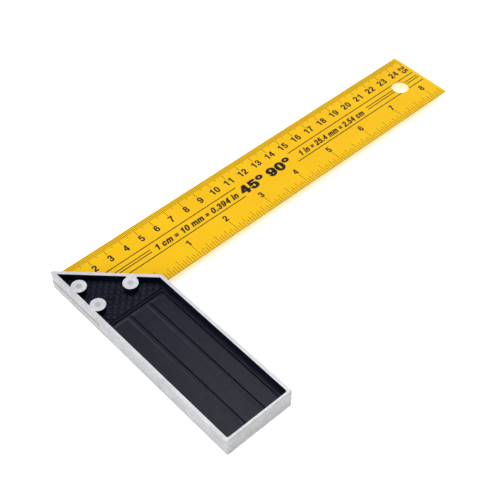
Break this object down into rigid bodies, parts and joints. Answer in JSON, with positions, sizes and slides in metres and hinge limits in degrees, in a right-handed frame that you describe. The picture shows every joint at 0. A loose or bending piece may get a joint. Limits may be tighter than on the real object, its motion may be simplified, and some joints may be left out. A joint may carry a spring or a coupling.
{
  "type": "try square",
  "caption": "Fixed carpenter's try square: mitred cast stock with black recessed faces and a yellow graduated steel blade with a hang hole.",
  "frame": {"origin": "inside corner at mid thickness: X = 0 is the stock's inner (registration) face, Y = 0 is the blade's inner edge, Z = 0 is the blade's middle plane", "axes": "+X along the blade towards its tip, -Y along the stock towards its heel, +Z out of the printed face"},
  "size_m": [0.252, 0.1325, 0.0116],
  "materials": {
    "stock_metal": "satin",
    "blade_paint": "satin",
    "rivet_metal": "satin",
    "recess_enamel": "satin",
    "scale_print": "matte"
  },
  "bodies": {
    "root": {"stock": "stock_metal", "blade": "blade_paint", "nose_rivet": "rivet_metal", "outer_rivet": "rivet_metal", "inner_rivet": "rivet_metal"}
  },
  "joints": []
}
